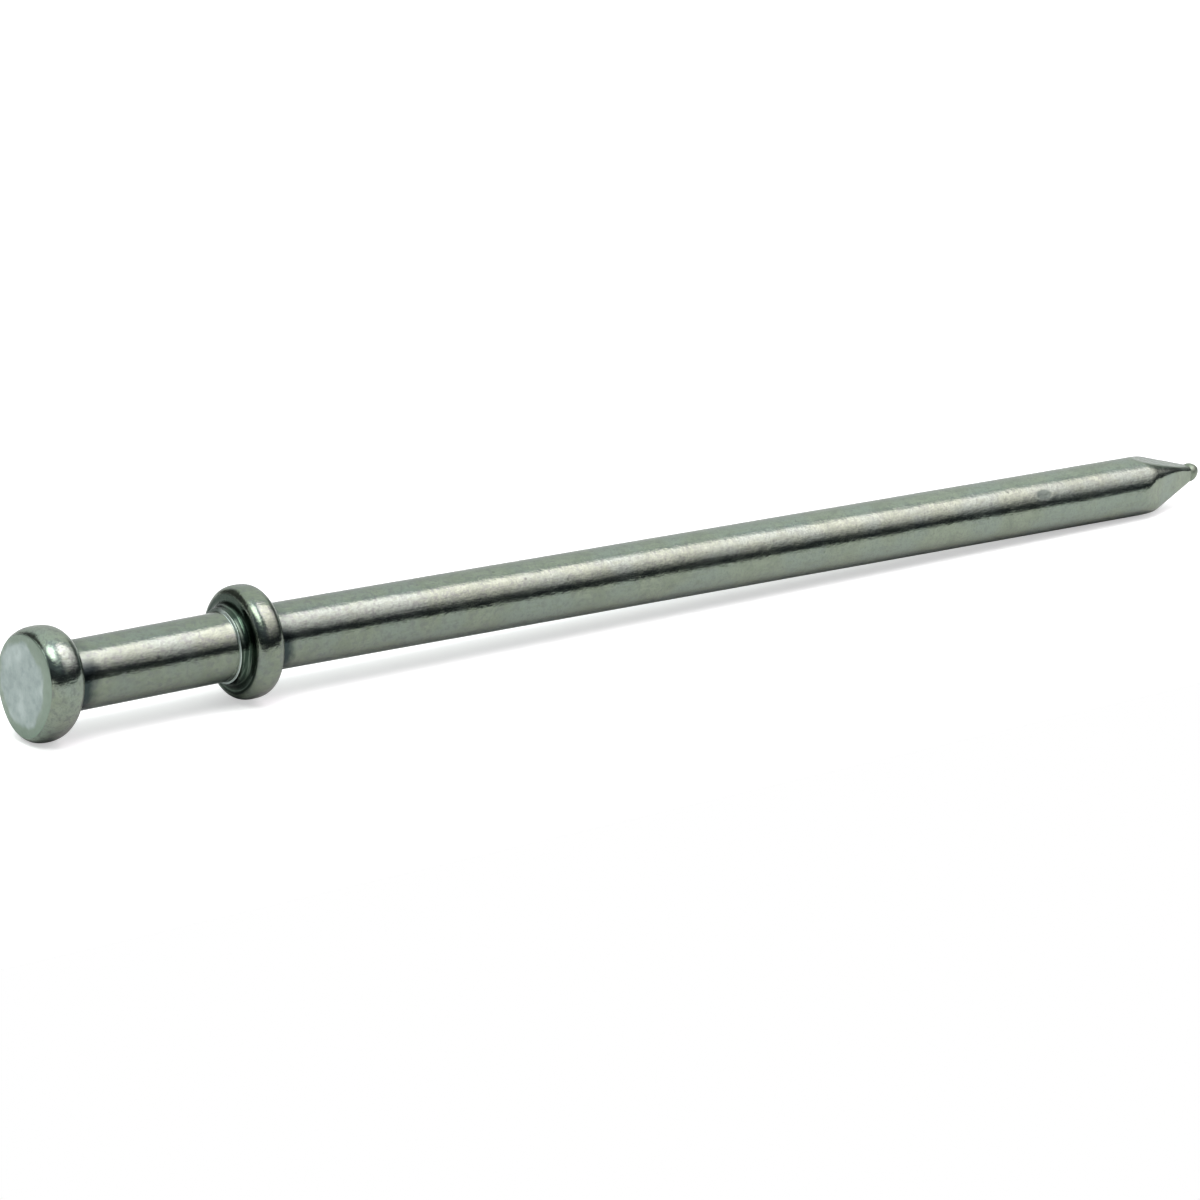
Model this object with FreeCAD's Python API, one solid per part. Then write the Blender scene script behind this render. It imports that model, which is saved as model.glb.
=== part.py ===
import FreeCAD, Part
import math
import os

# Double-headed (duplex) wire nail, millimetres.
# +X runs along the shank to the point, +Z is up, and the origin is on the shank's axis at the
# bearing face under the lower head. The nail is one cold-headed piece of drawn wire. Its forged
# zones are separate solids that meet face to face across the axis, so that collision follows each
# of them and the gap between the heads, where a claw goes, stays open.

# Wire
shank_radius = 2.02
shank_length = 75.8
core_depth = 0.10
core_radius = 1.90
neck_radius = 2.06
neck_drop_at_collar = -0.08
neck_drop_at_head = -0.24

# Lower head: barrel rim set back from a raised ring round the neck
collar_radius = 3.47
collar_thickness = 1.91
bearing_face_radius = 2.80
shoulder_radius = 3.27
shoulder_inset = 0.18
corner_radius = 3.07
corner_inset = 0.05
rim_foot_radius = 2.73
groove_radius = 2.50
groove_depth = 0.08
ring_foot_radius = 2.32
ring_top_radius = 2.26
ring_height = 0.65

# Striking head, which sits a little low of the shank's axis
head_gap = 11.54
head_drop = -0.33
head_radius = 3.50
head_thickness = 2.35
head_widest_depth = 1.17
head_underside_radius = 2.86
face_flat_radius = 2.47
face_edge_radius = 3.12
face_bevel_depth = 0.12
underside_fillet = 0.30

# Diamond point: four pinched facets, rolled about the axis, and the sheared nub they end in
point_length = 6.4
point_base_half_width = 2.10
point_end_half_width = 0.62
point_rise = 0.26
point_roll = 7.1
nub_length = 0.85
nub_end_half_width = 0.42

# Stations along the axis
collar_front_x = -collar_thickness
ring_top_x = collar_front_x - ring_height
head_underside_x = collar_front_x - head_gap
head_face_x = head_underside_x - head_thickness
neck_end_x = head_underside_x + underside_fillet
point_start_x = shank_length - point_length
nub_start_x = shank_length - nub_length

AXIS = FreeCAD.Vector(1, 0, 0)


def at(x, radius):
    """A profile point: x along the axis, radius out from it."""
    return FreeCAD.Vector(x, 0, radius)


def line(start, end):
    return Part.LineSegment(start, end).toShape()


def arc(start, middle, end):
    return Part.Arc(start, middle, end).toShape()


def turned(edges):
    """The solid that a closed profile sweeps when it turns once about the axis."""
    face = Part.Face(Part.Wire(edges))
    return face.revolve(FreeCAD.Vector(0, 0, 0), AXIS, 360)


def striking_head():
    """Flat face with a shallow bevel, a crisp edge and a bulged rim."""
    face_centre = at(head_face_x, 0)
    flat_edge = at(head_face_x, face_flat_radius)
    crisp_edge = at(head_face_x + face_bevel_depth, face_edge_radius)
    widest = at(head_face_x + head_widest_depth, head_radius)
    back_edge = at(head_underside_x, head_underside_radius)
    fillet_foot = at(head_underside_x, neck_radius + underside_fillet)
    fillet_top = at(neck_end_x, neck_radius)
    back_centre = at(neck_end_x, 0)
    head = turned([
        line(face_centre, flat_edge),
        line(flat_edge, crisp_edge),
        arc(crisp_edge, widest, back_edge),
        line(back_edge, fillet_foot),
        line(fillet_foot, fillet_top),
        line(fillet_top, back_centre),
        line(back_centre, face_centre),
    ])
    head.translate(FreeCAD.Vector(0, 0, head_drop))
    return head


def neck():
    """The wire between the two heads, which drops slightly towards the striking head."""
    ends = []
    for x, drop in ((ring_top_x, neck_drop_at_collar), (neck_end_x, neck_drop_at_head)):
        circle = Part.Circle(FreeCAD.Vector(x, 0, drop), AXIS, neck_radius)
        ends.append(Part.Wire(circle.toShape()))
    return Part.makeLoft(ends, True, True)


def lower_head():
    """Barrel rim with a flat bearing face behind, and a groove and a raised ring in front.

    The shank's tapered core fits into it, so that the bearing face is the flat ring outside the
    shank.
    """
    middle = -collar_thickness / 2
    core_centre = at(-core_depth, 0)
    core_edge = at(-core_depth, core_radius)
    shank_edge = at(0, shank_radius)
    bearing_edge = at(0, bearing_face_radius)
    back_corner = at(-corner_inset, corner_radius)
    back_shoulder = at(-shoulder_inset, shoulder_radius)
    widest = at(middle, collar_radius)
    front_shoulder = at(collar_front_x + shoulder_inset, shoulder_radius)
    front_corner = at(collar_front_x + corner_inset, corner_radius)
    rim_foot = at(collar_front_x, rim_foot_radius)
    groove = at(collar_front_x + groove_depth, groove_radius)
    ring_foot = at(collar_front_x, ring_foot_radius)
    ring_top = at(ring_top_x, ring_top_radius)
    ring_centre = at(ring_top_x, 0)
    return turned([
        line(core_centre, core_edge),
        line(core_edge, shank_edge),
        line(shank_edge, bearing_edge),
        arc(bearing_edge, back_corner, back_shoulder),
        arc(back_shoulder, widest, front_shoulder),
        arc(front_shoulder, front_corner, rim_foot),
        arc(rim_foot, groove, ring_foot),
        line(ring_foot, ring_top),
        line(ring_top, ring_centre),
        line(ring_centre, core_centre),
    ])


def square(x, half_width, rise):
    """A square across the axis, rolled with the pinch dies."""
    corners = []
    for quarter in range(5):
        angle = math.radians(point_roll + 45 + 90 * quarter)
        reach = half_width * math.sqrt(2)
        y = reach * math.cos(angle)
        z = rise + reach * math.sin(angle)
        corners.append(FreeCAD.Vector(x, y, z))
    return Part.makePolygon(corners)


def shank():
    """The driven wire: round up to the diamond point, four facets, then the blunt nub."""
    core_centre = at(-core_depth, 0)
    core_edge = at(-core_depth, core_radius)
    wire_start = at(0, shank_radius)
    wire_stop = at(point_start_x, shank_radius)
    stop_centre = at(point_start_x, 0)
    straight = turned([
        line(core_centre, core_edge),
        line(core_edge, wire_start),
        line(wire_start, wire_stop),
        line(wire_stop, stop_centre),
        line(stop_centre, core_centre),
    ])
    facets = Part.makeLoft([
        square(point_start_x, point_base_half_width, 0),
        square(nub_start_x, point_end_half_width, point_rise),
    ], True, True)
    wire_end = Part.makeCylinder(shank_radius, point_length, at(point_start_x, 0), AXIS)
    nub = Part.makeLoft([
        square(nub_start_x, point_end_half_width, point_rise),
        square(shank_length, nub_end_half_width, point_rise),
    ], True, True)
    return straight.fuse([wire_end.common(facets), nub]).removeSplitter()


def main():
    os.makedirs("parts", exist_ok=True)
    for make in (striking_head, neck, lower_head, shank):
        shape = make()
        print(make.__name__, len(shape.Solids), shape.isValid(), round(shape.Volume, 2))
        shape.exportStep(f"parts/{make.__name__}.step")


main()
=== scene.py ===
import math

import bpy
from mathutils import Matrix, Vector, noise

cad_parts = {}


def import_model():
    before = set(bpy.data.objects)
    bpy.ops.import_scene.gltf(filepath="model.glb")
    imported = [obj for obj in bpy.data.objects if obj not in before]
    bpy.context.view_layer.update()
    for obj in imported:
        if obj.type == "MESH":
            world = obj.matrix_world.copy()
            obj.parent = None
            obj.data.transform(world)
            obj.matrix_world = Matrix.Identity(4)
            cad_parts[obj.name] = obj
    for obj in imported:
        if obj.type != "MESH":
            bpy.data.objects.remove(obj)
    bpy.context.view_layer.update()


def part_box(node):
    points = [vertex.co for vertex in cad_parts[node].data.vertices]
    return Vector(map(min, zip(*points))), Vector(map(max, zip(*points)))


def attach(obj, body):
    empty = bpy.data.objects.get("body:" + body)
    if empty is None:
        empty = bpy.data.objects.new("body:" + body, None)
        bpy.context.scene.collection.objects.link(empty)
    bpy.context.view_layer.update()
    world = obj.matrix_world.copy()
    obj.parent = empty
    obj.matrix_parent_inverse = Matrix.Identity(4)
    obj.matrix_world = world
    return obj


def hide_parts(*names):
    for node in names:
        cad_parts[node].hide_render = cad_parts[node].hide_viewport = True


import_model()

# A double-headed nail on a pale floor. One closed surface replaces the four CAD nodes.

MM = 0.001

# ---- Sizes from the CAD nodes, in millimetres ------------------------------------------------


def node_box(node):
    """The lowest and highest corner of a node's box, in millimetres."""
    low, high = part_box(node)
    return [v / MM for v in low], [v / MM for v in high]


HEAD_LOW, HEAD_HIGH = node_box("striking_head")
NECK_LOW, NECK_HIGH = node_box("neck")
COLLAR_LOW, COLLAR_HIGH = node_box("lower_head")
SHANK_LOW, SHANK_HIGH = node_box("shank")

FACE_X = HEAD_LOW[0]
NECK_END_X = HEAD_HIGH[0]
RING_TOP_X = COLLAR_LOW[0]
BEARING_X = COLLAR_HIGH[0]
TIP_X = SHANK_HIGH[0]
HEAD_R = (HEAD_HIGH[1] - HEAD_LOW[1]) / 2
NECK_R = (NECK_HIGH[1] - NECK_LOW[1]) / 2
COLLAR_R = (COLLAR_HIGH[1] - COLLAR_LOW[1]) / 2
SHANK_R = (SHANK_HIGH[1] - SHANK_LOW[1]) / 2
HEAD_DROP = (HEAD_HIGH[2] + HEAD_LOW[2]) / 2
NECK_DROP_AT_HEAD = NECK_LOW[2] + NECK_R
NECK_DROP_AT_COLLAR = NECK_HIGH[2] - NECK_R

# ---- Heads and neck, past what the nodes' boxes say, in millimetres -----------------------------

SWOLLEN_NECK_R = NECK_R + 0.03
FIRST_RING_R = 0.03
FACE_FLAT_R = 2.42
BEVEL_DEPTH = 0.07
BEVEL_R = 3.05
HEAD_RIM_FOOT_R = 2.76
HEAD_FULLNESS = 2.2
UNDERSIDE_R = 2.70
FILLET = 0.30
FILLET_FOOT_R = 2.40
COLLAR_THICKNESS = 1.91
COLLAR_RIM_FOOT_R = 2.73
COLLAR_FULLNESS = 2.57
RING_LIP_R = 2.22
RING_WALL_R = 2.28
BEARING_FOOT_R = 2.14

# The neck's centre line eases into each head over these lengths
HEAD_EASE = 0.6
COLLAR_EASE = 0.3

# Squeezed out of round, as a part of the radius
HEAD_OVAL = 0.060
HEAD_LOBES = 0.022
COLLAR_OVAL = 0.018

# ---- The dent near the point: half its length and width, and how far closer rings reach ---------

DENT_X = 60.5
DENT_ANGLE = math.radians(147.6)
DENT_HALF_LENGTH = 0.80
DENT_HALF_WIDTH = 0.42
DENT_DEPTH = 0.022
CLOSE_RINGS = 1.4

# ---- The point ---------------------------------------------------------------------------------

POINT_START_X = TIP_X - 6.4
NUB_X = TIP_X - 0.85
POINT_ROLL = math.radians(7.1)

# How far the facets' centre ends above the shank's axis, and what the nub adds
POINT_RISE = 0.26
NUB_RISE = 0.12

# Half widths across the facets
POINT_BASE_HALF = 2.10
POINT_END_HALF = 0.58
NUB_HALF = 0.63
NUB_END_HALF = 0.34

# Radius on the ridges; bluntness and the nub's roundness are radii as parts of the half width
RIDGE_START = 0.66
RIDGE_END = 0.35
BLUNTNESS = 0.72
NUB_ROUNDNESS = 0.9

# Length over which facet and wire are eased together where the point starts, and what it gains
FIRST_SOFTNESS = 0.01
CUT_SOFTNESS = 0.07

# Crease where the nub starts: depth, then place and width as parts of the nub's length
CREASE_DEPTH = 0.045
CREASE_PLACE = 0.07
CREASE_WIDTH = 0.05

# ---- Marks that are real shape: height in millimetres, at the noise's full swing ----------------

WIRE_WAVES = 0.006
WIRE_RIPPLES = 0.0022
DIE_MARKS = 0.020
DIE_GRAIN = 0.009
RIM_LUMPS = 0.02

# ---- The nail's outline: (x, radius) from the face's centre to the tip --------------------------


def bezier(p0, p1, p2, p3, count):
    """Points along a cubic curve, without its first point."""
    points = []
    for k in range(1, count + 1):
        t = k / count
        s = 1 - t
        points.append(tuple(
            s**3 * a + 3 * s * s * t * b + 3 * s * t * t * c + t**3 * d
            for a, b, c, d in zip(p0, p1, p2, p3)))
    return points


def straight(p0, p1, count):
    """Points along a straight run, without its first point."""
    return [tuple(a + (b - a) * k / count for a, b in zip(p0, p1)) for k in range(1, count + 1)]


def barrel(middle, half, foot_radius, rise, fullness, start, stop, count):
    """Points over a squeezed-out rim; start and stop are degrees, 0 at its front and 180 behind."""
    points = []
    for k in range(count + 1):
        t = math.radians(start + (stop - start) * k / count)
        c = math.cos(t)
        x = middle - half * math.copysign(abs(c) ** (2 / fullness), c)
        points.append((x, foot_radius + rise * math.sin(t) ** (2 / fullness)))
    return points


def head_outline():
    """Face, shallow bevel, crisp edge, barrel rim, underside and the fillet into the neck."""
    x = FACE_X
    back = NECK_END_X - FILLET
    flat = (x, FACE_FLAT_R)
    bevel = (x + BEVEL_DEPTH, BEVEL_R)
    rim = barrel((x + back) / 2, (back - x) / 2, HEAD_RIM_FOOT_R, HEAD_R - HEAD_RIM_FOOT_R,
                 HEAD_FULLNESS, 27, 176, 46)
    under = (back, UNDERSIDE_R)
    fillet = (back, FILLET_FOOT_R)
    neck = (NECK_END_X + 0.15, SWOLLEN_NECK_R)
    run = [(x, FIRST_RING_R)]
    run += straight(run[0], flat, 28)
    run += bezier(flat, (x + 0.004, 2.52), (x + 0.03, 2.80), bevel, 8)
    run += bezier(bevel, (x + 0.078, 3.09), (x + 0.09, rim[0][1] - 0.01), rim[0], 4)
    run += rim[1:]
    run += straight(run[-1], under, 2)
    run += straight(under, fillet, 3)
    run += bezier(fillet, (back + 0.02, 2.18), (NECK_END_X - 0.12, SWOLLEN_NECK_R), neck, 8)
    return run


def neck_outline(start):
    return straight(start, (RING_TOP_X - 0.10, SWOLLEN_NECK_R), 48)


def collar_outline(start):
    """Ring round the neck, hollow flank, barrel rim, bearing face, and on to the shank."""
    front = BEARING_X - COLLAR_THICKNESS
    foot = (RING_TOP_X, SWOLLEN_NECK_R + 0.02)
    lip = (RING_TOP_X + 0.02, RING_LIP_R)
    wall = (RING_TOP_X + 0.09, RING_WALL_R)
    rim = barrel(front / 2, -front / 2, COLLAR_RIM_FOOT_R, COLLAR_R - COLLAR_RIM_FOOT_R,
                 COLLAR_FULLNESS, 9, 178, 50)
    wire = (BEARING_X + 0.14, SHANK_R)
    run = bezier(start, (RING_TOP_X - 0.03, start[1]), (RING_TOP_X - 0.01, start[1]), foot, 4)
    run += straight(foot, lip, 4)
    run += bezier(lip, (RING_TOP_X + 0.025, 2.26), (RING_TOP_X + 0.05, RING_WALL_R), wall, 5)
    run += bezier(wall, (RING_TOP_X + 0.44, RING_WALL_R), (front + 0.04, 2.38), rim[0], 19)
    run += rim[1:]
    run += straight(run[-1], (BEARING_X, BEARING_FOOT_R), 6)
    run += bezier(run[-1], (BEARING_X, 2.07), (BEARING_X + 0.06, SHANK_R), wire, 5)
    return run


def shank_outline(start):
    """The plain round wire, with closer rings where the dent is, then the point and its nub."""
    run = straight(start, (DENT_X - CLOSE_RINGS, SHANK_R), 180)
    run += straight(run[-1], (DENT_X + CLOSE_RINGS, SHANK_R), 44)
    run += straight(run[-1], (POINT_START_X, SHANK_R), 30)
    run += straight(run[-1], (NUB_X, SHANK_R), 66)
    run += straight(run[-1], (TIP_X, SHANK_R), 16)
    return run


# ---- Sections across the nail -------------------------------------------------------------------


def ease(value, low, high):
    """From 0 at low to 1 at high, with a level start and end."""
    t = min(max((value - low) / (high - low), 0.0), 1.0)
    return t * t * (3 - 2 * t)


def axis_drop(x):
    """How high a section's centre is above the shank's axis: the striking head hangs a little low."""
    neck_start = NECK_END_X + HEAD_EASE
    neck_stop = RING_TOP_X - COLLAR_EASE
    if x < neck_start:
        t = ease(x, NECK_END_X, neck_start)
        return HEAD_DROP + (NECK_DROP_AT_HEAD - HEAD_DROP) * t
    if x < neck_stop:
        t = (x - neck_start) / (neck_stop - neck_start)
        return NECK_DROP_AT_HEAD + (NECK_DROP_AT_COLLAR - NECK_DROP_AT_HEAD) * t
    return NECK_DROP_AT_COLLAR * (1 - ease(x, neck_stop, RING_TOP_X + COLLAR_EASE))


def out_of_round(x, r, angle):
    """The rims were squeezed out freely, the striking head most to one side."""
    if x < NECK_END_X:
        uneven = -HEAD_OVAL * math.sin(2 * angle) + HEAD_LOBES * math.sin(3 * angle)
    elif RING_TOP_X < x < BEARING_X + 0.01:
        uneven = -COLLAR_OVAL * math.sin(2 * angle)
    else:
        return 0.0
    return r * uneven * ease(r, 2.3, 3.0)


def square_reach(angle, half, corner):
    """Distance from the centre to the side of a square whose corners are rounded."""
    turn = (angle - POINT_ROLL) % (math.pi / 2)
    turn = min(turn, math.pi / 2 - turn)
    inset = half - corner
    if half * math.tan(turn) <= inset:
        return half / math.cos(turn)
    along = inset * (math.cos(turn) + math.sin(turn))
    return along + math.sqrt(max(corner**2 - 2 * inset**2 + along**2, 0.0))


def circle_reach(angle, radius, rise):
    """Distance to the round wire's surface from a centre that sits above its axis."""
    s = rise * math.sin(angle)
    return -s + math.sqrt(s * s + radius * radius - rise * rise)


def soft_least(a, b, softness):
    """The smaller of two lengths, eased where they are nearly equal."""
    close = max(softness - abs(a - b), 0.0) / softness
    return min(a, b) - close * close * softness / 4


def ridge_corner(angle, half, t):
    """Radius on a ridge of the point; the upper ridge on the -Y side starts blunter, near a cone."""
    quarter = int((angle - POINT_ROLL) % (2 * math.pi) / (math.pi / 2))
    if quarter == 1:
        blunt = BLUNTNESS * half
        return blunt + (RIDGE_END - blunt) * ease(t, 0.15, 0.85)
    return RIDGE_START + (RIDGE_END - RIDGE_START) * t


def facet_section(x, r, angle):
    """(reach, centre height) where the four facets cut the wire."""
    t = (x - POINT_START_X) / (NUB_X - POINT_START_X)
    half = POINT_BASE_HALF + (POINT_END_HALF - POINT_BASE_HALF) * t
    rise = POINT_RISE * t
    facet = square_reach(angle, half, ridge_corner(angle, half, t))
    softness = FIRST_SOFTNESS + CUT_SOFTNESS * ease(t, 0.0, 0.2)
    return soft_least(circle_reach(angle, r, rise), facet, softness), rise


def nub_section(x, angle):
    """(reach, centre height) on the nub: a crease, a slight swelling and a rounded end."""
    t = (x - NUB_X) / (TIP_X - NUB_X)
    crease = CREASE_DEPTH * math.exp(-((t - CREASE_PLACE) / CREASE_WIDTH) ** 2)
    swell = POINT_END_HALF + (NUB_HALF - POINT_END_HALF) * ease(t, 0.05, 0.3)
    half = swell - crease - (NUB_HALF - NUB_END_HALF) * t**3
    corner = RIDGE_END + (NUB_ROUNDNESS * half - RIDGE_END) * ease(t, 0.0, 0.15)
    return square_reach(angle, half, corner), POINT_RISE + NUB_RISE * t


# ---- Handling and forging marks -----------------------------------------------------------------


def round_noise(along, size, angle, shift=0.0):
    """Smooth noise that closes on itself round the nail; a larger size makes finer marks."""
    return noise.noise(Vector((along, math.cos(angle) * size, math.sin(angle) * size + shift)))


def wire_waviness(x, angle):
    """Drawn wire isn't quite round or straight: a few microns, long along the wire."""
    waves = WIRE_WAVES * round_noise(x * 0.16, 2.2, angle)
    ripples = WIRE_RIPPLES * round_noise(x * 0.9, 5.0, angle, 7.3)
    return waves + ripples


def dent(x, angle):
    """A shallow pressed spot with a faintly raised edge."""
    along = (x - DENT_X) / DENT_HALF_LENGTH
    turn = (angle - DENT_ANGLE + math.pi) % (2 * math.pi) - math.pi
    across = turn * SHANK_R / DENT_HALF_WIDTH
    away = math.hypot(along, across)
    if away > 1.5:
        return 0.0
    hollow = -DENT_DEPTH * (1 - ease(away, 0.25, 1.0))
    edge = 0.2 * DENT_DEPTH * math.exp(-((away - 1.1) / 0.16) ** 2)
    return hollow + edge


def die_marks(r, angle):
    """Faint hammer and die marks on the striking face."""
    marks = DIE_MARKS * round_noise(3.1, r * 0.55, angle)
    grain = DIE_GRAIN * round_noise(8.7, r * 1.5, angle)
    return (marks + grain) * (1 - ease(r, 2.3, 2.9))


def rim_lumps(x, angle, seed):
    return RIM_LUMPS * round_noise(x * 0.5 + seed, 1.6, angle)


def bump(x, r, angle):
    """How far the surface stands off its ideal outline, in millimetres."""
    if x < FACE_X + 0.5 and r < 2.95:
        return die_marks(r, angle)
    if x < NECK_END_X - FILLET:
        return rim_lumps(x, angle, 4.0) * ease(r, 2.9, 3.3)
    if RING_TOP_X < x < BEARING_X:
        return rim_lumps(x, angle, 9.0) * ease(r, 2.5, 3.3)
    if x > POINT_START_X:
        return 0.5 * wire_waviness(x, angle)
    return wire_waviness(x, angle) + dent(x, angle)


# ---- Mesh --------------------------------------------------------------------------------------

SEGMENTS = 160


def outline_normal(outline, k):
    """Which way the surface faces at a point of the outline: along X, and outwards."""
    x0, r0 = outline[max(k - 1, 0)]
    x1, r1 = outline[min(k + 1, len(outline) - 1)]
    run, rise = x1 - x0, r1 - r0
    length = math.hypot(run, rise)
    return -rise / length, run / length


def surface_point(x, r, normal, angle):
    """Where the outline's point stands at this angle, with its marks, in metres."""
    off = bump(x, r, angle)
    if x <= POINT_START_X:
        at = x + off * normal[0]
        reach = r + off * normal[1] + out_of_round(x, r, angle)
        height = axis_drop(x)
    else:
        at = x
        reach, height = facet_section(x, r, angle) if x <= NUB_X else nub_section(x, angle)
        reach += off
    return at * MM, reach * math.cos(angle) * MM, (height + reach * math.sin(angle)) * MM


def side_faces(rings):
    """Quads between each ring of vertices and the next."""
    faces = []
    for ring in range(rings - 1):
        a = ring * SEGMENTS
        for k in range(SEGMENTS):
            n = (k + 1) % SEGMENTS
            faces.append((a + n, a + k, a + SEGMENTS + k, a + SEGMENTS + n))
    return faces


def end_faces(rings):
    """Triangles from the two centres, which come after all the rings, to the end rings."""
    face_centre = rings * SEGMENTS
    tip_centre = face_centre + 1
    last = (rings - 1) * SEGMENTS
    faces = []
    for k in range(SEGMENTS):
        n = (k + 1) % SEGMENTS
        faces.append((face_centre, k, n))
        faces.append((tip_centre, last + n, last + k))
    return faces


def nail_mesh():
    """The whole nail as one closed surface."""
    outline = head_outline()
    for stretch in (neck_outline, collar_outline, shank_outline):
        outline += stretch(outline[-1])
    first = POINT_ROLL + math.pi / 4
    angles = [first + 2 * math.pi * k / SEGMENTS for k in range(SEGMENTS)]
    verts = []
    for k, (x, r) in enumerate(outline):
        normal = outline_normal(outline, k)
        verts += [surface_point(x, r, normal, angle) for angle in angles]
    verts.append((FACE_X * MM, 0, HEAD_DROP * MM))
    verts.append((TIP_X * MM, 0, POINT_RISE * MM))
    mesh = bpy.data.meshes.new("nail")
    mesh.from_pydata(verts, [], side_faces(len(outline)) + end_faces(len(outline)))
    mesh.update()
    for polygon in mesh.polygons:
        polygon.use_smooth = True
    return mesh


# ---- Shader nodes ------------------------------------------------------------------------------


class Nodes:
    """Short names for making and joining shader nodes."""

    def __init__(self, tree):
        self.tree = tree

    def add(self, kind, settings=None, **inputs):
        made = self.tree.nodes.new(kind)
        for name, value in (settings or {}).items():
            setattr(made, name, value)
        for name, value in inputs.items():
            self.put(made.inputs[name.replace("_", " ")], value)
        return made

    def put(self, socket, value):
        if isinstance(value, bpy.types.NodeSocket):
            self.tree.links.new(value, socket)
        else:
            socket.default_value = value

    def maths(self, operation, a, b=0.0, c=0.0):
        made = self.tree.nodes.new("ShaderNodeMath")
        made.operation = operation
        for socket, value in zip(made.inputs, (a, b, c)):
            self.put(socket, value)
        return made.outputs[0]

    def times(self, a, b):
        return self.maths("MULTIPLY", a, b)

    def plus(self, a, b):
        return self.maths("ADD", a, b)

    def minus(self, a, b):
        return self.maths("SUBTRACT", a, b)

    def ramp(self, value, low, high, out_low=0.0, out_high=1.0):
        """Eased from out_low where the value is low to out_high where it is high."""
        made = self.add("ShaderNodeMapRange", {"interpolation_type": "SMOOTHSTEP"}, Value=value,
                        From_Min=low, From_Max=high, To_Min=out_low, To_Max=out_high)
        return made.outputs["Result"]

    def mix(self, factor, a, b):
        made = self.tree.nodes.new("ShaderNodeMix")
        made.data_type = "RGBA"
        self.put(made.inputs["Factor"], factor)
        self.put(made.inputs["A"], a)
        self.put(made.inputs["B"], b)
        return made.outputs["Result"]

    def vector_maths(self, operation, a, b=(0.0, 0.0, 0.0)):
        made = self.add("ShaderNodeVectorMath", {"operation": operation})
        self.put(made.inputs[0], a)
        self.put(made.inputs[1], b)
        return made

    def noise(self, vector, scale, detail=3.0, roughness=0.5):
        made = self.add("ShaderNodeTexNoise", Vector=vector, Scale=scale, Detail=detail,
                        Roughness=roughness)
        return made.outputs["Fac"]


# ---- The nail's steel --------------------------------------------------------------------------

DRAWN = (0.245, 0.284, 0.216, 1)
DRAWN_DARK = (0.205, 0.240, 0.182, 1)
DRAWN_BLUE = (0.228, 0.272, 0.226, 1)
DRAWN_GREY = (0.150, 0.165, 0.150, 1)
STRUCK = (0.405, 0.470, 0.450, 1)
STRUCK_DARK = (0.275, 0.335, 0.318, 1)
STRUCK_RIM = (0.232, 0.290, 0.236, 1)
# Painted highlight on the ring's front
RING_HIGHLIGHT = (0.700, 0.780, 0.740, 1)
PIT = (0.07, 0.08, 0.065, 1)
# Stain behind the heads, with painted shade on their lower side
STAIN_AND_SHADE = (0.034, 0.046, 0.045, 1)
# Painted shade inside the dent
DENT_SHADE = (0.100, 0.132, 0.112, 1)
# Painted shade in the collar's hollow and on the ring's unlit side
PAINTED_SHADE = (0.026, 0.042, 0.030, 1)
PAINTED_SHADE_LIGHTER = (0.100, 0.135, 0.104, 1)
BLACK = (0.0, 0.0, 0.0, 1)

# Relief in the shading only, in millimetres
FINE_RELIEF = 0.0085
COARSE_RELIEF = 0.0170
PIT_DEPTH = 0.004

# The wire's roughness where it is smoothest and roughest, and what dull metal and the nub add
SMOOTH_WIRE = 0.14
ROUGH_WIRE = 0.23
DULL_ROUGHNESS = 0.24
NUB_ROUGHNESS = 0.32


class Places:
    """What the steel's functions share: places in millimetres, as they are and drawn out along
    the wire, the mottle and the pits."""

    def __init__(self, n):
        coord = n.add("ShaderNodeTexCoord").outputs["Object"]
        self.mm = n.add("ShaderNodeMapping", Vector=coord, Scale=(1000, 1000, 1000)).outputs[0]
        self.drawn = n.add("ShaderNodeMapping", Vector=coord, Scale=(260, 1000, 1000)).outputs[0]
        self.x, self.y, self.z = n.add("ShaderNodeSeparateXYZ", Vector=self.mm).outputs
        self.mottle = n.noise(self.mm, 0.9, 4.0, 0.6)
        self.pits = pit_mask(n, self.mm)


def off_axis(n, at, drop):
    """Distance from an axis parallel to X that runs drop millimetres above the shank's."""
    y = n.maths("POWER", at.y, 2.0)
    z = n.maths("POWER", n.minus(at.z, drop), 2.0)
    return n.maths("SQRT", n.plus(y, z))


def pit_mask(n, mm):
    """Sparse specks a fifth of a millimetre across."""
    cells = n.add("ShaderNodeTexVoronoi", {"feature": "F1"}, Vector=mm, Scale=0.75)
    speck = n.ramp(cells.outputs["Distance"], 0.045, 0.10, 1.0, 0.0)
    return n.times(speck, n.ramp(n.noise(mm, 0.5, 1.0), 0.47, 0.57))


def stain_and_shade_mask(n, at):
    """Stains on the wire just behind each head, with painted shade: they fade towards the top and
    stay dark on the lower side.
    """
    wobbly = n.plus(at.x, n.times(n.minus(at.mottle, 0.5), 1.6))
    by_collar = n.ramp(wobbly, BEARING_X + 0.7, BEARING_X + 1.6, 1.0, 0.0)
    past_bearing = n.maths("GREATER_THAN", at.x, BEARING_X)
    by_head = n.ramp(wobbly, NECK_END_X + 0.5, NECK_END_X + 1.4, 1.0, 0.0)
    past_head = n.maths("GREATER_THAN", at.x, NECK_END_X - 0.25)
    stain_and_shade = n.plus(n.times(by_collar, past_bearing), n.times(by_head, past_head))
    # Painted shade: the patches fade towards the top
    return n.times(stain_and_shade, n.ramp(at.z, 0.5, 1.3, 1.0, 0.3))


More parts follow.
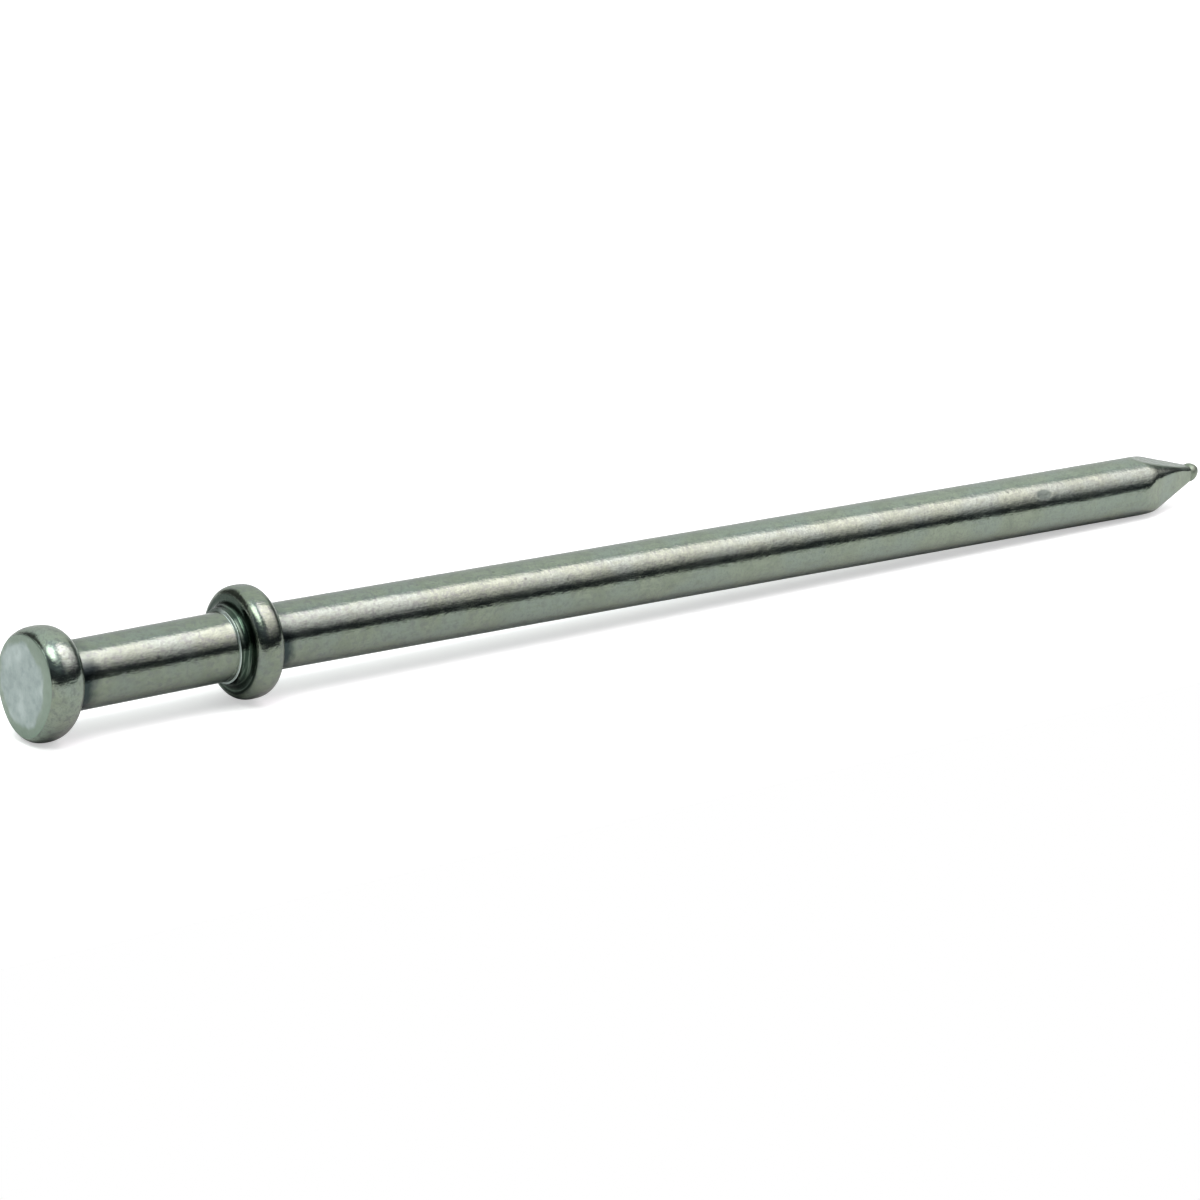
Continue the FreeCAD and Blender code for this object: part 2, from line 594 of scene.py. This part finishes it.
def dent_shade_mask(n, at):
    """Painted shade inside the small dent near the point."""
    centre = (DENT_X, SHANK_R * math.cos(DENT_ANGLE), SHANK_R * math.sin(DENT_ANGLE))
    away = n.vector_maths("SUBTRACT", at.mm, centre).outputs[0]
    reach = (DENT_HALF_LENGTH, DENT_HALF_WIDTH, DENT_HALF_WIDTH)
    scaled = n.vector_maths("DIVIDE", away, reach).outputs[0]
    size = n.vector_maths("LENGTH", scaled).outputs["Value"]
    return n.ramp(size, 0.6, 0.95, 1.0, 0.0)


def hollow_shade_mask(n, at):
    """Painted shade in the hollow between the ring and the lower head's rim."""
    out = off_axis(n, at, 0.0)
    behind_ring = n.ramp(at.x, RING_TOP_X + 0.03, RING_TOP_X + 0.10)
    front_half = n.maths("LESS_THAN", at.x, BEARING_X - 1.0)
    inside_rim = n.ramp(n.plus(out, n.times(at.mottle, 0.12)), 3.02, 3.14, 1.0, 0.0)
    outside_neck = n.ramp(out, 2.16, 2.24)
    return n.times(n.times(behind_ring, front_half), n.times(inside_rim, outside_neck))


def wire_colour(n, at):
    """Mottled and streaked greys, darker towards the heads."""
    colour = n.mix(n.ramp(at.mottle, 0.40, 0.66), DRAWN, DRAWN_DARK)
    colour = n.mix(n.ramp(n.noise(at.mm, 0.33, 2.0), 0.40, 0.64), colour, DRAWN_BLUE)
    streaks = n.ramp(n.noise(at.drawn, 4.5, 3.0), 0.50, 0.68, 0.0, 0.6)
    colour = n.mix(streaks, colour, DRAWN_DARK)
    darker_to_heads = n.times(n.ramp(at.x, -14, 60, 0.21, 0.0),
                     n.ramp(at.x, NECK_END_X - 0.4, NECK_END_X, 0.2, 1.0))
    colour = n.mix(darker_to_heads, colour, BLACK)
    grain = n.ramp(n.noise(at.mm, 8.0, 2.0, 0.7), 0.50, 0.68, 0.0, 0.45)
    colour = n.mix(grain, colour, DRAWN_GREY)
    patches = n.ramp(n.noise(at.mm, 2.6, 3.0, 0.65), 0.47, 0.66)
    handled = n.ramp(at.x, -2, 40, 0.75, 0.35)
    return n.mix(n.times(patches, handled), colour, DRAWN_GREY)


def hollow_shade_colour(n, at):
    """The painted shade is lighter in faint rings round the axis."""
    rings = n.add("ShaderNodeCombineXYZ", X=n.times(at.x, 9.0),
                  Y=n.times(off_axis(n, at, 0.0), 9.0), Z=n.times(at.z, 0.6))
    lighter_rings = n.ramp(n.noise(rings.outputs[0], 0.8, 2.0), 0.50, 0.66)
    return n.mix(lighter_rings, PAINTED_SHADE, PAINTED_SHADE_LIGHTER)


def marked_colour(n, at, colour):
    """Stains with painted shade, pits, and painted shade in the dent and in the collar's hollow, laid
    over the wire's colour.
    """
    colour = n.mix(stain_and_shade_mask(n, at), colour, STAIN_AND_SHADE)
    colour = n.mix(n.times(at.pits, 0.45), colour, PIT)
    colour = n.mix(n.times(dent_shade_mask(n, at), 0.7), colour, DENT_SHADE)
    return n.mix(hollow_shade_mask(n, at), colour, hollow_shade_colour(n, at))


def ring_colour(n, at, on_ring, colour):
    """The ring's front: a painted highlight on the -Y side, painted shade on the other."""
    painted_highlight = n.times(on_ring, n.ramp(at.y, -0.9, 0.5, 1.0, 0.1))
    return n.mix(painted_highlight, n.mix(on_ring, colour, PAINTED_SHADE), RING_HIGHLIGHT)


def face_colour(n, at):
    """Dull struck metal: die-marked patches inside, a slightly greener bevel outside."""
    warp = n.add("ShaderNodeTexNoise", Vector=at.mm, Scale=0.8, Detail=2.0)
    bent = n.add("ShaderNodeMix", {"data_type": "VECTOR"})
    n.put(bent.inputs["Factor"], 0.35)
    n.put(bent.inputs[4], at.mm)
    n.put(bent.inputs[5], warp.outputs["Color"])
    cells = n.add("ShaderNodeTexVoronoi", {"feature": "SMOOTH_F1"}, Vector=bent.outputs[1],
                  Scale=1.1, Smoothness=0.35)
    large = n.times(n.ramp(cells.outputs["Distance"], 0.20, 0.62), 0.6)
    small = n.times(n.ramp(n.noise(at.mm, 1.6, 4.0, 0.6), 0.4, 0.65), 0.4)
    inside = n.mix(n.plus(large, small), STRUCK, STRUCK_DARK)
    uneven = n.times(n.minus(n.noise(at.mm, 0.7, 2.0), 0.5), 1.1)
    uneven = n.plus(uneven, n.times(at.y, -0.07))
    bevel = n.ramp(n.plus(off_axis(n, at, HEAD_DROP), uneven), 2.22, 2.64)
    return n.mix(bevel, inside, STRUCK_RIM)


def roughness(n, at, dull):
    """Smoother and rougher streaks along the wire; struck metal and the nub are duller."""
    rough = n.ramp(n.noise(at.drawn, 3.0, 4.0), 0.35, 0.7, SMOOTH_WIRE, ROUGH_WIRE)
    rough = n.plus(rough, n.times(dull, DULL_ROUGHNESS))
    return n.plus(rough, n.ramp(at.x, NUB_X - 0.15, NUB_X + 0.1, 0.0, NUB_ROUGHNESS))


def relief(n, at):
    """Fine drawn grain, coarser unevenness and the pits."""
    fine = n.times(n.noise(at.drawn, 5.0, 3.0, 0.65), FINE_RELIEF)
    coarse = n.times(n.noise(at.mm, 3.2, 4.0, 0.6), COARSE_RELIEF)
    height = n.minus(n.plus(fine, coarse), n.times(at.pits, PIT_DEPTH))
    return n.add("ShaderNodeBump", Height=height, Distance=MM, Strength=1.0).outputs["Normal"]


def steel():
    """Bright drawn wire with its marks, the ring's front with painted highlight and painted shade,
    and the struck face.
    """
    m = bpy.data.materials.new("bright_steel_wire")
    m.use_nodes = True
    n = Nodes(m.node_tree)
    at = Places(n)
    # The flat front of the ring, outside the neck, and the striking face with its bevel
    on_ring = n.times(n.maths("COMPARE", at.x, RING_TOP_X, 0.05),
                      n.ramp(off_axis(n, at, NECK_DROP_AT_COLLAR), 2.11, 2.13))
    struck = n.ramp(at.x, FACE_X + 0.08, FACE_X + 0.12, 1.0, 0.0)
    colour = marked_colour(n, at, wire_colour(n, at))
    colour = ring_colour(n, at, on_ring, colour)
    colour = n.mix(struck, colour, face_colour(n, at))
    shader = m.node_tree.nodes["Principled BSDF"]
    shader.inputs["Metallic"].default_value = 1.0
    n.put(shader.inputs["Base Color"], colour)
    n.put(shader.inputs["Roughness"], roughness(n, at, n.maths("MAXIMUM", struck, on_ring)))
    n.put(shader.inputs["Normal"], relief(n, at))
    return m


# ---- Camera and floor --------------------------------------------------------------------------

# Millimetres
CAMERA_PLACE = Vector((-139.5, -222.2, 74.2)) * MM
CAMERA_TARGET = Vector((24.9, -0.4, -1.2)) * MM
CAMERA_UP = Vector((-0.02, 0, 1))
CAMERA_LENS = 137.8
CAMERA_SENSOR = 36

# Metres; the floor ends a little way in front of the nail
FLOOR_HALF = 2.5
FLOOR_FRONT = -0.031

FLOOR_COLOUR = (0.74, 0.74, 0.73, 1)
FLOOR_GLOW = 0.5

# The nail rests on its striking head's rim and on the wire where the point begins
HEAD_BOTTOM = HEAD_DROP - HEAD_R * (1 + HEAD_LOBES) - RIM_LUMPS
HEAD_FOOT = Vector((FACE_X + 1.17, 0, HEAD_BOTTOM)) * MM
WIRE_FOOT = Vector((POINT_START_X + 1.2, 0, -SHANK_R - 0.01)) * MM


def camera():
    data = bpy.data.cameras.new("camera")
    data.lens = CAMERA_LENS
    data.sensor_width = CAMERA_SENSOR
    data.clip_start = 0.01
    data.clip_end = 20
    cam = bpy.data.objects.new("camera", data)
    bpy.context.scene.collection.objects.link(cam)
    forward = (CAMERA_TARGET - CAMERA_PLACE).normalized()
    right = forward.cross(CAMERA_UP).normalized()
    up = right.cross(forward)
    turn = Matrix((right, up, -forward)).transposed().to_4x4()
    cam.matrix_world = Matrix.Translation(CAMERA_PLACE) @ turn
    bpy.context.scene.camera = cam


def floor_material():
    """Pale and matt, with a glow that only the camera sees."""
    m = bpy.data.materials.new("floor")
    m.use_nodes = True
    n = Nodes(m.node_tree)
    shader = m.node_tree.nodes["Principled BSDF"]
    shader.inputs["Base Color"].default_value = FLOOR_COLOUR
    shader.inputs["Roughness"].default_value = 0.9
    shader.inputs["Specular IOR Level"].default_value = 0.0
    shader.inputs["Emission Color"].default_value = (1, 1, 1, 1)
    seen = n.add("ShaderNodeLightPath").outputs["Is Camera Ray"]
    n.put(shader.inputs["Emission Strength"], n.times(seen, FLOOR_GLOW))
    return m


def floor():
    """A plane through both of the nail's feet."""
    along = (WIRE_FOOT - HEAD_FOOT).normalized() * FLOOR_HALF
    front = Vector((0, FLOOR_FRONT, 0))
    back = Vector((0, FLOOR_HALF, 0))
    corners = [HEAD_FOOT - along + front, HEAD_FOOT + along + front,
               HEAD_FOOT + along + back, HEAD_FOOT - along + back]
    mesh = bpy.data.meshes.new("floor")
    mesh.from_pydata([tuple(c) for c in corners], [], [(0, 1, 2, 3)])
    mesh.materials.append(floor_material())
    obj = bpy.data.objects.new("floor", mesh)
    bpy.context.scene.collection.objects.link(obj)


# ---- Studio light: angles in degrees -----------------------------------------------------------

# Soft boxes: azimuth, half width and its soft edge, then the elevations where the box begins,
# is brightest and ends, colour, strength
SOFT_BOXES = (
    (-39, 36, 9, 13, 62, 76, (1.0, 0.85, 0.91), 5.0),
    (-143, 40, 8, 38, 54, 82, (0.96, 1.0, 0.94), 5.5),
)
BOX_RISE_POWER = 1.35
BOX_TOP_EDGE = 6

# Dark cards: azimuth, half width and its soft edge, elevations, and the part of the light they leave
DARK_CARDS = (
    (128, 34, 8, 4, 48, 0.12),
    (8, 20, 6, 16, 34, 0.2),
)
CARD_EDGE = 4

# (elevation, radiance) on the camera's side and on the far side, and each side's tint
NEAR_SIDE = ((-90, 0.25), (0, 0.045), (12, 0.055), (20, 0.17), (29, 0.26), (45, 0.34), (90, 1.5))
FAR_SIDE = ((-90, 0.9), (-5, 0.66), (8, 0.78), (20, 0.93), (33, 1.12), (47, 1.4), (90, 1.5))
NEAR_TINT = (0.85, 1.0, 1.15, 1)
FAR_TINT = (0.95, 1.0, 0.99, 1)

# A direction's Y, from -1 to 1, where the light is still all near side, and where it is all far side
ALL_NEAR = -0.10
ALL_FAR = 0.24


def elevation_ramp(n, elevation, stops):
    """A grey radiance that follows elevation."""
    top = max(radiance for _, radiance in stops)
    made = n.add("ShaderNodeValToRGB", Fac=n.maths("MULTIPLY_ADD", elevation, 1 / 180, 0.5))
    points = made.color_ramp.elements
    for k, (degrees, radiance) in enumerate(stops):
        place = degrees / 180 + 0.5
        stop = points[k] if k < 2 else points.new(place)
        stop.position = place
        stop.color = [radiance / top] * 3 + [1]
    return n.times(made.outputs["Color"], top)


def within(n, azimuth, middle, half_width, edge):
    """1 within the half width of an azimuth, and 0 past it."""
    turn = n.maths("WRAP", n.minus(azimuth, middle), 180.0, -180.0)
    return n.ramp(n.maths("ABSOLUTE", turn), half_width - edge, half_width + edge, 1, 0)


def soft_box(n, azimuth, elevation, unshaded, box):
    """A glowing soft-edged panel in the sky."""
    middle, half_width, edge, low, full, top, colour, strength = box
    rise = n.add("ShaderNodeMapRange", Value=elevation, From_Min=low, From_Max=full)
    rise = n.maths("POWER", rise.outputs["Result"], BOX_RISE_POWER)
    panel = n.times(n.times(within(n, azimuth, middle, half_width, edge), rise), unshaded)
    panel = n.times(panel, n.ramp(elevation, top - BOX_TOP_EDGE, top + BOX_TOP_EDGE, 1, 0))
    glow = n.add("ShaderNodeBackground", Color=(*colour, 1), Strength=n.times(panel, strength))
    return glow.outputs[0]


def dark_card(n, azimuth, elevation, card):
    """What is left of the light where the card stands, and 1 away from it."""
    middle, half_width, edge, low, top, left = card
    shade = within(n, azimuth, middle, half_width, edge)
    shade = n.times(shade, n.ramp(elevation, low - CARD_EDGE, low + CARD_EDGE))
    shade = n.times(shade, n.ramp(elevation, top - CARD_EDGE, top + CARD_EDGE, 1, 0))
    return n.maths("MULTIPLY_ADD", shade, left - 1.0, 1.0)


def studio_light(n):
    """The room, less what the cards hide, plus the soft boxes."""
    direction = n.add("ShaderNodeTexCoord").outputs["Generated"]
    x, y, z = n.add("ShaderNodeSeparateXYZ", Vector=direction).outputs
    elevation = n.times(n.maths("ARCSINE", z), 180 / math.pi)
    azimuth = n.times(n.maths("ARCTAN2", y, x), 180 / math.pi)
    far_part = n.ramp(y, ALL_NEAR, ALL_FAR)
    near = n.times(elevation_ramp(n, elevation, NEAR_SIDE), n.minus(1.0, far_part))
    far = n.times(elevation_ramp(n, elevation, FAR_SIDE), far_part)
    cards = [dark_card(n, azimuth, elevation, card) for card in DARK_CARDS]
    unshaded = n.times(*cards)
    room = n.times(n.plus(near, far), unshaded)
    tint = n.mix(far_part, NEAR_TINT, FAR_TINT)
    light = n.add("ShaderNodeBackground", Color=tint, Strength=room).outputs[0]
    for box in SOFT_BOXES:
        total = n.add("ShaderNodeAddShader")
        n.put(total.inputs[0], light)
        n.put(total.inputs[1], soft_box(n, azimuth, elevation, unshaded, box))
        light = total.outputs[0]
    return light


def world():
    """The studio's light, with plain white wherever the camera sees past the floor."""
    w = bpy.data.worlds.new("studio")
    bpy.context.scene.world = w
    w.use_nodes = True
    w.node_tree.nodes.clear()
    n = Nodes(w.node_tree)
    plain = n.add("ShaderNodeBackground", Color=(1.0, 1.0, 1.0, 1))
    seen = n.add("ShaderNodeMixShader", Fac=n.add("ShaderNodeLightPath").outputs["Is Camera Ray"])
    n.put(seen.inputs[1], studio_light(n))
    n.put(seen.inputs[2], plain.outputs[0])
    n.add("ShaderNodeOutputWorld", Surface=seen.outputs[0])


def main():
    bpy.context.scene.view_settings.view_transform = "Standard"
    nail = bpy.data.objects.new("nail", nail_mesh())
    bpy.context.scene.collection.objects.link(nail)
    nail.data.materials.append(steel())
    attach(nail, "root")
    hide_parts("striking_head", "neck", "lower_head", "shank")
    camera()
    floor()
    world()


main()
